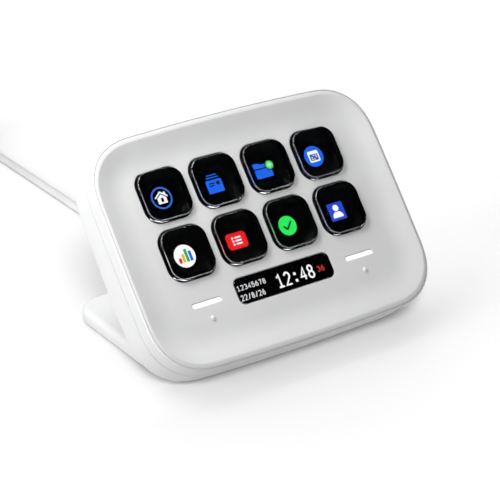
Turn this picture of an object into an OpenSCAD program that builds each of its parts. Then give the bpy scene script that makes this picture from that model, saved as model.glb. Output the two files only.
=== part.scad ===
// Tilted desk keypad: eight display keys, an information strip, two light bars and a flat foot.
//
// Face frame: x to the right, y up the face, z out of the face, origin in the middle of the keys.
// Desk frame: x to the right, y away from the user, z up, the desk at z = 0.

/* [Body] */
// Width across the face
body_w = 107; // [95:1:125]
// Height of the face, measured along it
body_h = 79; // [70:1:95]
// How far the face leans back from lying flat
face_lean = 50; // [35:1:70]
// Height of the middle of the keys over the desk
face_height = 44.5; // [40:0.5:55]
// Corner radius of the outline
corner_r = 18; // [10:0.5:24]
// Outward bow of the left and right edges
bow_x = 0.5; // [0:0.1:2]
// Outward bow of the upper and lower edges
bow_y = 1.5; // [0:0.1:3]
// Height of the lip over the key field
lip_h = 2.45; // [1:0.05:4]
// Width of the dished band inside the lip
dish_w = 9.7; // [5:0.1:12]
// Thickness of the body behind the key field, at its middle
body_t = 15.2; // [13:0.1:20]

/* [Keys] */
// Distance from key to key
key_pitch = 19.7; // [18:0.1:22]
// Side of the windows in the bezel
window_w = 17.5; // [16:0.1:18]
// Corner radius of the windows
window_r = 5; // [3:0.1:7]
// Travel of a key
key_travel = 0.95; // [0.5:0.05:1.5]

/* [Strip and lights] */
// Width of the information strip
strip_w = 36.8; // [30:0.1:40]
// Height of the information strip
strip_h = 8.7; // [7:0.1:10]
// Length of a light bar
bar_w = 10.8; // [6:0.1:14]
// Height of a light bar
bar_h = 1.6; // [1:0.1:3]

/* [Foot] */
// Width of the foot plate
foot_w = 90; // [70:1:100]
// Thickness of the foot plate, with its pad
foot_t = 5; // [4:0.1:8]
// Place of the foot's back edge
foot_back = 36.6; // [25:0.1:50]

/* [Cord] */
// Diameter of the captive lead
cord_d = 3; // [2.6:0.1:4]
// Turns across the coil
coil_columns = 3; // [2:1:5]
// Layers of turns in the coil
coil_layers = 4; // [2:2:4]

/* [Hidden] */
$fn = 32;
// Body outline and its place on the face
face_y = -4.4;
outline_mid_y = -8.4;
roundness = 2.4;
corner_steps = 9;
side_steps = 3;
arc_steps = 5;
// Lip, seams and walls
lip_edge = 1.5;
lip_more_y = 0.7;
lip_round = 0.3;
lip_steps = 2;
seam_gap = 0.15;
frame_top = 2.2;
frame_shelf = 1.45;
frame_lip = 0.5;
frame_bottom = -3.35;
wall = 1.7;
bezel_t = 1.2;
dish_steps = 6;
dish_straight = 0.35;
// Back of the body: it thickens towards the desk
back_slope = 0.0316;
back_r_side = 3;
back_r_low = 8;
back_steps = 6;
back_lean = atan(back_slope);
// Keys
columns = [-1.5, -0.5, 0.5, 1.5];
rows = [0.5, -0.5];
moving_gap = 0.3;
collar_t = 0.3;
collar_w = window_w - 2 * collar_t;
collar_r = window_r - collar_t;
key_w = collar_w - 2 * moving_gap;
key_r = collar_r - moving_gap;
key_top = 1.4;
key_bevel = 0.4;
key_bevel_steps = 4;
flange_edge = 0.6;
flange_w = key_w + 2 * flange_edge;
flange_r = key_r + flange_edge;
flange_top = -1.8;
key_bottom = -2.3;
pocket_w = flange_w + 2 * moving_gap;
pocket_r = flange_r + moving_gap;
ledge_z = flange_top + moving_gap;
guide_bottom = -2.5;
guide_size = [82, 41.4];
// Display stack under the keys
lcd_top = key_bottom - key_travel - moving_gap;
lcd_size = [80.5, 38.8, 2];
light_size = [80, 38.4, 2];
tray_size = [84, 41.4];
tray_floor_t = 1.2;
fit_gap = 0.2;
// Strip, light bars and touch points
strip_y = -26.4;
strip_r = 2.2;
bar_pos = [29.55, -26.6];
touch_y = -31.7;
touch_d = 1.5;
touch_h = 0.35;
// Boards
board_top = -9.6;
board_t = 1.2;
board_y = [-40, 20];
board_x = 41;
// Screws: [head diameter, head height, shank diameter]
case_screw = [4.4, 1.8, 2.2];
case_screw_pos = [[45.5, 20], [-45.5, 20], [45.5, -38], [-45.5, -38]];
case_seat = -11.5;
foot_screw = [4.8, 1.5, 2.8];
foot_screw_rows = [-13, -26];
board_screw = [3.2, 1, 1.6];
board_screw_pos = [[37.5, 16], [-37.5, 16], [35, -38], [-35, -38]];
// Foot
pad_t = 1;
foot_under = 0.5;
foot_front = -19.7;
foot_r = 9;
foot_edge_r = 2;
arm_t = 3.2;
arm_x = [13, 33];
arm_rows = [-37, -7];
arm_fillet = 5;
pad_size = [80, 47];
pad_y = 9.8;
weight_size = [66, 34, 2.4];
// Lead: it leaves the back level, drops to the desk and runs straight away to its coil
relief_axis_z = 15;
relief_start = -11.5;
cord_r = cord_d / 2;
cord_route = [
    [0, 8, 15], [0, 15, 14.8], [0, 23, 13.6], [-0.1, 31, 11.4], [-0.4, 39, 8.7], [-0.8, 47, 5.8],
    [-1.1, 55, 3.4], [-1.3, 63, 2], [-1.4, 71, 1.5], [-1.4, 80, 1.5], [-1.4, 89, 1.5],
    [-1.4, 98, 1.5], [-1.4, 107, 1.5], [-1.4, 116, 1.5], [-1.4, 125, 1.5], [-1.4, 134, 1.5],
    [-1.4, 143, 1.5], [-1.4, 152, 1.5], [-1.4, 161, 1.5], [-1.4, 170, 1.5], [-1.4, 179, 1.5],
    [-1.4, 188, 1.6], [-1.4, 196, 1.8], [-1.4, 203, 2]
];
cord_end = cord_route[len(cord_route) - 1];
coil_mid_r = 16.2;
coil_outer_turn = coil_mid_r + (coil_columns - 1) * cord_d / 2;
coil_pos = [cord_end.x - coil_outer_turn, cord_end.y];
coil_lift = 0.5;
tail_x = coil_pos.x - coil_outer_turn;
tail_route = [
    [tail_x, 203, 11], [tail_x, 196, 10.2], [tail_x, 189, 8], [tail_x, 182, 5.4],
    [tail_x, 175, 3.6], [tail_x, 168, 3]
];
plug_size = [10.4, 20, 6];
plug_tip = [8.3, 6.6, 2.5];

// ---------- helpers ----------

// From the face frame to the desk frame.
module on_face() {
    translate([0, face_y, face_height])
        rotate([face_lean, 0, 0])
            children();
}

// Frame of the flat back: z points out of the back, y up along it, at face height y = at.
module on_back(at = 0) {
    on_face()
        translate([0, at, -back_depth(at)])
            rotate([back_lean, 0, 0])
                mirror([0, 0, 1])
                    children();
}

// Depth of the back behind the key field, at height y on the face.
function back_depth(y) = body_t - back_slope * (y - outline_mid_y);

// A quarter of the outline before it bows: half sides a, b, from [a, 0] round to [0, b].
function quarter(a, b, r) = concat(
    [for (i = [0:side_steps - 1]) [a, (b - r) * i / side_steps]],
    [for (i = [0:corner_steps]) let (t = 90 * i / corner_steps)
        [a - r + r * pow(max(cos(t), 0), 2 / roundness), b - r + r * pow(max(sin(t), 0), 2 / roundness)]],
    [for (i = [1:side_steps]) [(a - r) * (1 - i / side_steps), b]]
);

// Four mirrored quarters joined into one ring, counter-clockwise.
function whole(q) = let (n = len(q) - 1) concat(
    [for (i = [0:n - 1]) q[i]],
    [for (i = [n:-1:1]) [-q[i].x, q[i].y]],
    [for (i = [0:n - 1]) [-q[i].x, -q[i].y]],
    [for (i = [n:-1:1]) [q[i].x, -q[i].y]]
);

// Body outline, inset by d, and by more_y more at its top and bottom: each edge bows outwards.
function outline(d, more_y = 0) =
    let (a = body_w / 2 - bow_x - d, b = body_h / 2 - bow_y - d - more_y)
    [for (p = whole(quarter(a, b, corner_r - d)))
        [p.x * (1 + bow_x / a * (1 - pow(p.y / b, 2))),
         p.y * (1 + bow_y / b * (1 - pow(p.x / a, 2))) + outline_mid_y]];

function flat_ring(d, z, more_y = 0) = [for (p = outline(d, more_y)) [p.x, p.y, z]];

// Ring of the rounded back at arc angle t: the radius grows towards the lower edge.
function back_ring(d, depth_less, t) =
    [for (p = outline(d))
        let (
            out = [p.x, p.y - outline_mid_y],
            low = max(0, -out.y) / (body_h / 2),
            r = back_r_side + (back_r_low - back_r_side) * pow(low, 3) - d,
            q = p - r * (1 - cos(t)) * out / norm(out)
        )
        [q.x, q.y, -back_depth(q.y) + depth_less + r * (1 - sin(t))]];

// Rounded rectangle, counter-clockwise from the lower end of its upper right corner.
function rect(w, h, r) =
    [for (c = [0:3], i = [0:arc_steps])
        let (t = 90 * (c + i / arc_steps), right = c == 0 || c == 3 ? 1 : -1, up = c < 2 ? 1 : -1)
        [right * (w / 2 - r) + r * cos(t), up * (h / 2 - r) + r * sin(t)]];

function box_ring(w, h, r, z, mid = [0, 0]) =
    [for (p = rect(w, h, r)) [p.x + mid.x, p.y + mid.y, z]];

// Closed solid through a stack of rings, from the lowest to the highest.
module loft(rings) {
    n = len(rings[0]);
    m = len(rings);
    points = [for (ring = rings) for (p = ring) p];
    sides = [for (k = [0:m - 2]) for (i = [0:n - 1]) let (j = (i + 1) % n)
        [k * n + i, (k + 1) * n + i, (k + 1) * n + j, k * n + j]];
    polyhedron(
        points,
        concat([[for (i = [0:n - 1]) i]], sides, [[for (i = [n - 1:-1:0]) (m - 1) * n + i]]),
        convexity = 8
    );
}

// Plate with round corners from z = low to z = high.
module plate(w, h, r, low, high, mid = [0, 0]) {
    translate([mid.x, mid.y, low])
        linear_extrude(high - low)
            polygon(rect(w, h, r));
}

module at_keys() {
    for (row = rows, column = columns)
        translate([column * key_pitch, row * key_pitch, 0])
            children();
}

// Screw with its head's underside at z = 0 and its head above.
module screw(kind, length) {
    difference() {
        cylinder(h = kind[1], d = kind[0]);
        translate([0, 0, kind[1] / 2])
            cylinder(h = kind[1], d = kind[0] / 2, $fn = 6);
    }
    translate([0, 0, -length])
        cylinder(h = length + 0.1, d = kind[2]);
}

// ---------- housing ----------

// Height of the dished band at s from 0 to 1: straight below the lip, then curved until it is flat.
function dish_z(s) =
    let (slope = lip_h / (dish_straight + (1 - dish_straight) / 2))
    s < dish_straight ? lip_h - slope * s : slope * pow(1 - s, 2) / (2 * (1 - dish_straight));

module front_bezel() {
    skirt = wall + fit_gap;
    shelf = frame_shelf + seam_gap;
    side = frame_lip + seam_gap;
    color("#f1f1f2") on_face() {
        difference() {
            loft(concat(
                [flat_ring(skirt, -bezel_t), flat_ring(skirt, shelf), flat_ring(side, shelf)],
                [for (i = [0:lip_steps])
                    let (t = i / lip_steps, z = lip_h - lip_round * pow(1 - t, 2))
                    flat_ring(side + (lip_edge - side) * t, z, lip_more_y * t)],
                [for (i = [1:dish_steps])
                    let (s = i / dish_steps)
                    flat_ring(lip_edge + dish_w * s, dish_z(s), lip_more_y)]
            ));
            at_keys()
                plate(window_w, window_w, window_r, -3, 3);
            plate(strip_w + fit_gap, strip_h + fit_gap, strip_r + fit_gap / 2, -3, 3, [0, strip_y]);
            for (x = [-1, 1])
                plate(bar_w + 0.1, bar_h + 0.1, bar_h / 2, -3, 3, [x * bar_pos.x, bar_pos.y]);
        }
        touch_points();
        case_bosses();
        board_posts();
    }
}

module touch_points() {
    for (x = [-1, 1])
        translate([x * bar_pos.x, touch_y, -0.1])
            cylinder(h = touch_h + 0.1, d1 = touch_d + 0.3, d2 = touch_d - 0.7, $fn = 20);
}

module case_bosses() {
    for (p = case_screw_pos)
        translate([p.x, p.y, -9])
            difference() {
                cylinder(h = 9 - bezel_t + 0.1, d = 5.4, $fn = 24);
                translate([0, 0, -1])
                    cylinder(h = 6.5, d = case_screw[2] + 0.15, $fn = 24);
            }
}

// Posts for the main board's lower screws.
module board_posts() {
    for (p = board_screw_pos)
        if (abs(p.y) > tray_size.y / 2)
            translate([p.x, p.y, board_top])
                difference() {
                    cylinder(h = -bezel_t - board_top + 0.1, d = 3.8, $fn = 24);
                    translate([0, 0, -1])
                        cylinder(h = 4, d = board_screw[2] + 0.1, $fn = 24);
                }
}

module mid_frame() {
    color("#f1f1f2") on_face()
        difference() {
            loft([
                flat_ring(0.1, frame_bottom), flat_ring(0, frame_bottom + 0.15),
                flat_ring(0, frame_top - 0.7), flat_ring(0.07, frame_top - 0.35),
                flat_ring(0.22, frame_top - 0.1), flat_ring(frame_lip, frame_top)
            ]);
            loft([
                flat_ring(wall, frame_bottom - 1), flat_ring(wall, frame_shelf),
                flat_ring(frame_lip, frame_shelf), flat_ring(frame_lip, frame_top + 1)
            ]);
        }
}

// Outer form of the back cover, or with d its hollow: the arc leads into the flat back.
module back_form(d, depth_less) {
    loft(concat(
        [for (i = [back_steps:-1:0]) back_ring(d, depth_less, 90 * i / back_steps)],
        [flat_ring(d, frame_bottom - seam_gap + (d > 0 ? 1 : 0))]
    ));
}

module rear_shell() {
    color("#f1f1f2") difference() {
        union() {
            on_face()
                difference() {
                    back_form(0, 0);
                    back_form(wall, wall);
                }
            on_face()
                for (p = case_screw_pos)
                    translate([p.x, p.y, -back_depth(p.y) + 0.5])
                        cylinder(h = back_depth(p.y) - 0.5 - 9.2, d = 6, $fn = 24);
            for (x = [-1, 1], y = foot_screw_rows)
                on_back(y)
                    translate([x * (arm_x[0] + arm_x[1]) / 2, 0, -4])
                        cylinder(h = 3.5, d = 6, $fn = 24);
        }
        on_face()
            for (p = case_screw_pos)
                translate([p.x, p.y, -30]) {
                    cylinder(h = 30, d = case_screw[2] + 0.4, $fn = 24);
                    cylinder(h = 30 + case_seat, d = case_screw[0] + 0.5, $fn = 24);
                }
        for (x = [-1, 1], y = foot_screw_rows)
            on_back(y)
                translate([x * (arm_x[0] + arm_x[1]) / 2, 0, -3.2])
                    cylinder(h = 8, d = foot_screw[2] + 0.1, $fn = 24);
        translate([0, -20, relief_axis_z])
            rotate([-90, 0, 0])
                cylinder(h = 30, d = 6.6, $fn = 24);
    }
}

module case_screws() {
    color("#8d8f93") on_face()
        for (p = case_screw_pos)
            translate([p.x, p.y, case_seat])
                mirror([0, 0, 1])
                    screw(case_screw, 6.5);
}

// ---------- foot ----------

module foot() {
    depth = foot_back - foot_front;
    mid = [0, foot_front + depth / 2];
    low = foot_under;
    top = foot_t;
    color("#f1f1f2") difference() {
        union() {
            loft(concat(
                [box_ring(foot_w - 0.8, depth - 0.8, foot_r, low, mid)],
                [box_ring(foot_w, depth, foot_r, low + 0.4, mid)],
                [for (i = [0:4]) let (t = 22.5 * i, inset = 2 * foot_edge_r * (1 - cos(t)))
                    box_ring(foot_w - inset, depth - inset, foot_r - inset / 2,
                        top - foot_edge_r * (1 - sin(t)), mid)]
            ));
            for (x = [-1, 1])
                foot_arm(x);
        }
        on_face()
            translate([0, 0, -0.12])
                back_form(0, 0);
        plate(pad_size.x, pad_size.y, 6, -1, pad_t, [0, pad_y]);
        plate(weight_size.x + 0.4, weight_size.y + 0.4, 2, 0, pad_t + weight_size.z + 0.1, [0, pad_y]);
        for (x = [-1, 1], y = foot_screw_rows)
            on_back(y)
                translate([x * (arm_x[0] + arm_x[1]) / 2, 0, 0]) {
                    translate([0, 0, -1])
                        cylinder(h = 8, d = foot_screw[2] + 0.3, $fn = 24);
                    translate([0, 0, arm_t - foot_screw[1]])
                        cylinder(h = 12, d = foot_screw[0] + 0.4, $fn = 24);
                }
    }
}

// Arm that runs up the back, drawn from the side and rounded into the plate.
module foot_arm(side) {
    translate([side > 0 ? arm_x[0] : -arm_x[1], 0, 0])
        rotate([90, 0, 90])
            linear_extrude(arm_x[1] - arm_x[0])
                offset(delta = -arm_fillet)
                    offset(r = arm_fillet)
                        arm_side_view();
}

// A point of the face frame, seen from the side in the desk frame.
function side_point(y, z) = [
    face_y + y * cos(face_lean) - z * sin(face_lean),
    face_height + y * sin(face_lean) + z * cos(face_lean)
];

module arm_side_view() {
    translate([foot_front + 8, foot_under + 1.5])
        square([foot_back - foot_front - 12, foot_t - foot_under - 1.5]);
    polygon([
        side_point(arm_rows[0], -back_depth(arm_rows[0]) + 1),
        side_point(arm_rows[1], -back_depth(arm_rows[1]) + 1),
        side_point(arm_rows[1], -back_depth(arm_rows[1]) - arm_t + 1.5),
        side_point(arm_rows[1] - 1.5, -back_depth(arm_rows[1]) - arm_t),
        side_point(arm_rows[0], -back_depth(arm_rows[0]) - arm_t)
    ]);
}

module foot_weight() {
    color("#7f8286")
        plate(weight_size.x, weight_size.y, 2, pad_t, pad_t + weight_size.z, [0, pad_y]);
}

module foot_pad() {
    color("#3a3b3d")
        plate(pad_size.x - 0.3, pad_size.y - 0.3, 6, 0, pad_t, [0, pad_y]);
}

module foot_screws() {
    color("#8d8f93")
        for (x = [-1, 1], y = foot_screw_rows)
            on_back(y)
                translate([x * (arm_x[0] + arm_x[1]) / 2, 0, arm_t - foot_screw[1]])
                    screw(foot_screw, 4.4);
}

// ---------- keys ----------

// Black grid under the bezel: a collar lines each window and a ledge stops the key's flange.
module key_guide() {
    color("#141416") on_face() {
        difference() {
            plate(guide_size.x, guide_size.y, 4, guide_bottom, -bezel_t);
            at_keys() {
                plate(collar_w, collar_w, collar_r, -5, 1);
                plate(pocket_w, pocket_w, pocket_r, -5, ledge_z);
            }
        }
        at_keys()
            difference() {
                plate(window_w - 0.1, window_w - 0.1, window_r - 0.05, -bezel_t - 0.1, -0.15);
                plate(collar_w, collar_w, collar_r, -3, 1);
            }
    }
}

module key_membrane() {
    color("#26272a") on_face()
        difference() {
            plate(guide_size.x, guide_size.y, 4, lcd_top, guide_bottom);
            at_keys()
                plate(pocket_w, pocket_w, pocket_r, -5, 0);
        }
}

// Clear cap with a rounded upper edge and a flange that holds it in.
module key_cap(index) {
    column = columns[index % len(columns)];
    row = rows[floor(index / len(columns))];
    mid = [column * key_pitch, row * key_pitch];
    color("#20242c", 0.8) on_face()
        loft(concat(
            [box_ring(flange_w, flange_w, flange_r, key_bottom, mid)],
            [box_ring(flange_w, flange_w, flange_r, flange_top, mid)],
            [box_ring(key_w, key_w, key_r, flange_top, mid)],
            [for (i = [0:key_bevel_steps])
                let (t = 90 * i / key_bevel_steps, inset = 2 * key_bevel * (1 - cos(t)))
                box_ring(key_w - inset, key_w - inset, key_r - inset / 2,
                    key_top - key_bevel * (1 - sin(t)), mid)]
        ));
}

// ---------- display stack ----------

module lcd_panel() {
    color("#101114") on_face()
        plate(lcd_size.x, lcd_size.y, 0.8, lcd_top - lcd_size.z, lcd_top);
}

module lcd_backlight() {
    low = lcd_top - lcd_size.z - light_size.z;
    color("#e6e8ea") on_face()
        plate(light_size.x, light_size.y, 0.8, low, lcd_top - lcd_size.z);
}

// Tray that holds the panel and its light, with lightening holes and pegs for the main board.
module lcd_tray() {
    seat = lcd_top - lcd_size.z - light_size.z;
    low = seat - tray_floor_t;
    color("#1b1c1f") on_face() {
        difference() {
            plate(tray_size.x, tray_size.y, 2, low, lcd_top);
            plate(lcd_size.x + 2 * fit_gap, lcd_size.y + 2 * fit_gap, 0.9, seat, lcd_top + 1);
            for (x = [-1, 0, 1], y = [-1, 1])
                plate(20, 13, 2, low - 1, seat + 1, [x * 25, y * 9]);
        }
        for (p = board_screw_pos)
            if (abs(p.y) < tray_size.y / 2)
                translate([p.x, p.y, board_top])
                    difference() {
                        cylinder(h = low - board_top + 0.1, d = 4, $fn = 24);
                        translate([0, 0, -1])
                            cylinder(h = 1.9, d = board_screw[2] + 0.1, $fn = 24);
                    }
    }
}

module strip_lens() {
    color("#16171a") on_face()
        plate(strip_w, strip_h, strip_r, -bezel_t, 0, [0, strip_y]);
}

module strip_display() {
    color("#0c0d0f") on_face()
        plate(strip_w + 1.2, strip_h + 0.2, 0.5, -2.9, -1.3, [0, strip_y]);
}

module strip_board() {
    color("#24553b") on_face() {
        plate(strip_w + 1.6, strip_h + 0.4, 0.8, -4, -3, [0, strip_y]);
        plate(12, 3, 0.3, -5.2, -4, [0, strip_y - 1.5]);
    }
}

// Milky bars: each stands in its slot and has a foot on the board below.
module light_guides() {
    color("#ffffff") on_face()
        for (x = [-1, 1]) {
            mid = [x * bar_pos.x, bar_pos.y];
            plate(bar_w, bar_h, bar_h / 2 - 0.01, -1.4, 0.02, mid);
            plate(bar_w + 1.6, bar_h + 1.6, bar_h / 2 + 0.6, -2.6, -1.35, mid);
        }
}

module touch_boards() {
    color("#24553b") on_face()
        for (x = [-1, 1]) {
            plate(19, 13.4, 1, -4.2, -3.2, [x * bar_pos.x, -29]);
            for (k = [-1, 0, 1])
                plate(1.6, 0.9, 0.1, -3.25, -2.7, [x * bar_pos.x + 3.4 * k, bar_pos.y]);
            translate([x * bar_pos.x, touch_y, -3.25])
                cylinder(h = 1.8, d = 5.5, $fn = 24);
        }
}

// ---------- main board ----------

module main_board() {
    mid = [0, (board_y[0] + board_y[1]) / 2];
    color("#24553b") on_face()
        difference() {
            plate(2 * board_x, board_y[1] - board_y[0], 3, board_top - board_t, board_top, mid);
            for (p = board_screw_pos)
                translate([p.x, p.y, board_top - 3])
                    cylinder(h = 6, d = board_screw[2] + 0.2, $fn = 24);
        }
}

module board_parts() {
    low = board_top - board_t;
    color("#17181a") on_face() {
        plate(10, 10, 0.4, low - 1, low, [-14, 6]);
        plate(8, 11, 0.4, low - 1.1, low, [2, 5]);
        plate(6, 5, 0.3, low - 1.1, low, [16, 8]);
        for (k = [0:3])
            plate(3.4, 2.2, 0.2, low - 1.2, low, [12 + 5 * k, -3]);
        plate(9, 4, 0.4, low - 1.2, low, [-22, -33]);
        plate(14, 3.4, 0.3, low - 1, low, [0, 14]);
        for (x = [-1, 1], k = [0:2])
            plate(2, 1.2, 0.1, low - 0.8, low, [x * 30, -8 - 4 * k]);
        plate(12, 4, 0.3, board_top, board_top + 1.4, [0, -35]);
    }
}

module board_screws() {
    color("#8d8f93") on_face()
        for (p = board_screw_pos)
            translate([p.x, p.y, board_top - board_t])
                mirror([0, 0, 1])
                    screw(board_screw, board_t + 0.8);
}

// A flat cable drawn from the side as a thin bent line.
module ribbon(w, path) {
    for (i = [0:len(path) - 2])
        hull()
            for (k = [0, 1])
                translate([0, path[i + k][0], path[i + k][1]])
                    rotate([0, 90, 0])
                        cylinder(h = w, d = 0.25, center = true, $fn = 8);
}

module lcd_ribbon() {
    color("#c0762a") on_face()
        ribbon(14, [[20.9, -6], [21.3, -8], [21.3, -10.6], [20.6, -11.1], [17, -11.15]]);
}

module strip_ribbon() {
    color("#c0762a") on_face()
        ribbon(9, [[-27.9, -5.4], [-31, -5.9], [-35, -6.4], [-36.6, -7], [-36.4, -7.9], [-35, -8.05]]);
}

// ---------- lead ----------

module strain_relief() {
    color("#dcdde0")
        translate([0, relief_start, relief_axis_z])
            rotate([-90, 0, 0])
                difference() {
                    rotate_extrude($fn = 32)
                        polygon([
                            [0, 0], [3.2, 0], [3.2, 6.6], [3.7, 6.8], [3.5, 9], [2.6, 9],
                            [2.6, 9.6], [3.3, 9.6], [3.1, 11.6], [2.4, 11.6], [2.4, 12.2],
                            [2.9, 12.2], [2.7, 14.2], [2.2, 14.2], [2.2, 14.8], [2.5, 14.8],
                            [2.1, 20.5], [0, 20.5]
                        ]);
                    translate([0, 0, 19.5])
                        cylinder(h = 3, r = cord_r + 0.05);
                }
}

// Tube along a route that runs mostly along y: rings stand square to it.
module cord_along(route) {
    n = 8;
    last = len(route) - 1;
    loft([
        for (i = [0:last])
            let (
                a = route[max(i - 1, 0)],
                b = route[min(i + 1, last)],
                t = (b - a) / norm(b - a),
                up = cross([1, 0, 0], t) / norm(cross([1, 0, 0], t)),
                side = cross(t, up)
            )
            [for (k = [0:n - 1])
                route[i] + cord_r * (cos(360 * k / n) * side + sin(360 * k / n) * up)]
    ]);
}

module cord_tube() {
    color("#e4e5e7")
        cord_along(cord_route);
}

module cord_coil() {
    half = coil_columns * cord_d / 2;
    color("#e4e5e7")
        translate([coil_pos.x, coil_pos.y, coil_lift])
            rotate_extrude($fn = 48)
                translate([coil_mid_r, 0])
                    polygon([
                        [-half, 1], [-half + 1, 0], [half - 1, 0], [half, 1],
                        [half, coil_layers * cord_d - 1], [half - 1, coil_layers * cord_d],
                        [-half + 1, coil_layers * cord_d], [-half, coil_layers * cord_d - 1]
                    ]);
}

// Band round one place of the coil.
module cord_tie() {
    w = coil_columns * cord_d;
    h = coil_layers * cord_d;
    color("#26272a")
        translate([coil_pos.x, coil_pos.y + coil_mid_r, 0])
            difference() {
                translate([-3, -w / 2 - 0.6, 0])
                    cube([6, w + 1.4, h + 2 * coil_lift]);
                translate([-4, -w / 2 - 0.05, coil_lift - 0.02])
                    cube([8, w + 0.1, h + 0.04]);
            }
}

module cord_tail() {
    color("#e4e5e7")
        cord_along(tail_route);
}

module at_plug() {
    translate([tail_x, tail_route[len(tail_route) - 1].y, plug_size.z / 2])
        rotate([90, 0, 0])
            children();
}

module plug_body() {
    color("#e4e5e7") at_plug()
        loft([
            box_ring(5.4, 4.4, 2.1, 0),
            box_ring(5.8, 4.6, 2.2, 3),
            box_ring(plug_size.x - 0.4, plug_size.z - 0.2, 2.6, 6),
            box_ring(plug_size.x, plug_size.z, 2.6, 8),
            box_ring(plug_size.x, plug_size.z, 2.6, plug_size.y - 0.6),
            box_ring(plug_size.x - 1, plug_size.z - 1, 2.2, plug_size.y)
        ]);
}

module plug_shell() {
    color("#b9bcc1") at_plug()
        translate([0, 0, plug_size.y])
            difference() {
                plate(plug_tip.x, plug_tip.z, plug_tip.z / 2 - 0.02, 0, plug_tip.y);
                plate(plug_tip.x - 0.7, plug_tip.z - 0.7, 0.85, 1, plug_tip.y + 1);
            }
}

front_bezel();
mid_frame();
rear_shell();
case_screws();
foot();
foot_weight();
foot_pad();
foot_screws();
key_guide();
key_membrane();
key_cap(0);  // key_1
key_cap(1);  // key_2
key_cap(2);  // key_3
key_cap(3);  // key_4
key_cap(4);  // key_5
key_cap(5);  // key_6
key_cap(6);  // key_7
key_cap(7);  // key_8
lcd_panel();
lcd_backlight();
lcd_tray();
strip_lens();
strip_display();
strip_board();
light_guides();
touch_boards();
main_board();
board_parts();
board_screws();
lcd_ribbon();
strip_ribbon();
strain_relief();
cord_tube();
cord_coil();
cord_tie();
cord_tail();
plug_body();
plug_shell();
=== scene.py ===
"""Looks of a tilted desk keypad with eight display keys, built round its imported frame.

Lengths are in millimetres until a mesh is made. FACE is the frame of the tilted face: x to the
right, y up the face, z out of it, with its origin in the middle of the keys. DESK is the frame of
the whole part, with the desk at z = 0.
"""

import math

import bmesh
import bpy
import numpy as np
from mathutils import Matrix, Vector


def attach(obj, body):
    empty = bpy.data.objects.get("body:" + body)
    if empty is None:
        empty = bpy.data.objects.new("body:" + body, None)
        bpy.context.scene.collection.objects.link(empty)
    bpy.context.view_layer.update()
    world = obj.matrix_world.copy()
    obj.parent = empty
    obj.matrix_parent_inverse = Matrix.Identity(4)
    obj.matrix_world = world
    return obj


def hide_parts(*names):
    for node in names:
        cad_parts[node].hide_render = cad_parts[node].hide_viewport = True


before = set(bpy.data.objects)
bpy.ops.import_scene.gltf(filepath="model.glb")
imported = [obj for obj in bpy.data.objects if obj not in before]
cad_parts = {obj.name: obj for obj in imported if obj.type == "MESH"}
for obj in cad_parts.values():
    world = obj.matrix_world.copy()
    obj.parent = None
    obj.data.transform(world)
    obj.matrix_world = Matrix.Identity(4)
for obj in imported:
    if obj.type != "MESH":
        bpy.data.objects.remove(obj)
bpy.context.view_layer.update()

MM = 0.001
LEAN = math.radians(50)
DESK = Matrix.Identity(4)
FACE = Matrix.Translation((0, -4.4, 44.5)) @ Matrix.Rotation(LEAN, 4, "X")

# Outline of the body, as in the part's source: half sides, middle, outward bow, corners
HALF_W, HALF_H, OUTLINE_MID_Y = 53.5, 39.5, -8.4
BOW_X, BOW_Y = 0.5, 1.5
CORNER_R, ROUNDNESS = 18, 2.4
# Lip: height, rounding, height of its foot; insets of foot and inner edge, more at top and bottom
LIP_H, LIP_ROUND, LIP_LOW = 2.45, 0.3, 1.6
LIP_FOOT, LIP_EDGE, LIP_MORE_Y = 0.65, 1.5, 0.7
# Dish: width, and the share of it that falls straight
DISH_W, STRAIGHT = 9.7, 0.35
# Bezel's plate: inset, thickness, rounded rims of the openings
BEZEL_INSET, BEZEL_T, RIM = 1.9, 1.2, 0.22
# Back: slope, thickness, height of its edge, wall; its rounding grows towards the desk
BACK_SLOPE, BODY_T, BACK_TOP, WALL = 0.0316, 15.2, -3.5, 1.7
BACK_R, BACK_R_MORE = 3, 5
# Screws: places on the face; the bezel's bosses as (radius, bore's radius, lower end)
CASE_SCREW_X, CASE_SCREW_ROWS = 45.5, (20, -38)
CASE_SCREWS = [(x, y) for x in (-CASE_SCREW_X, CASE_SCREW_X) for y in CASE_SCREW_ROWS]
CASE_BOSS = (2.7, 1.17, -9)
BOARD_POST_X, BOARD_POST_Y = 35, -38
BOARD_POST = (1.9, 0.85, -9.6)
FOOT_SCREWS = [(x, y) for x in (-23, 23) for y in (-13, -26)]
# Foot's plate: sides, corner radius, middle, underside, top, rounding
FOOT_W, FOOT_DEPTH, FOOT_R, FOOT_MID = 90, 56.3, 9, (0, 8.45)
FOOT_UNDER, FOOT_TOP, FOOT_ROUND = 0.5, 5, 2
# Pockets for the pad and the weight, from below: (width, depth, corner radius, low, high)
POCKETS = ((80, 47, 6, -1, 1), (66.4, 34.4, 2, 0.5, 3.5))
POCKET_MID = (0, 9.8)
# Holes for the foot's screws: (radius, lower end over the flat back)
FOOT_HOLES = ((1.55, -1), (2.6, 1.7))
# Foot's arms: thickness, rows of the face they reach, fillet, tip, root inside the plate, widths
ARM_T, ARM_ROWS, ARM_FILLET, ARM_TIP, ARM_LOW = 3.2, (-37, -7), 5.0, 1.4, 2.5
ARM_SPANS = ((13, 33), (-33, -13))
FOOT_GAP = 0.12  # between the foot and the back
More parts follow.
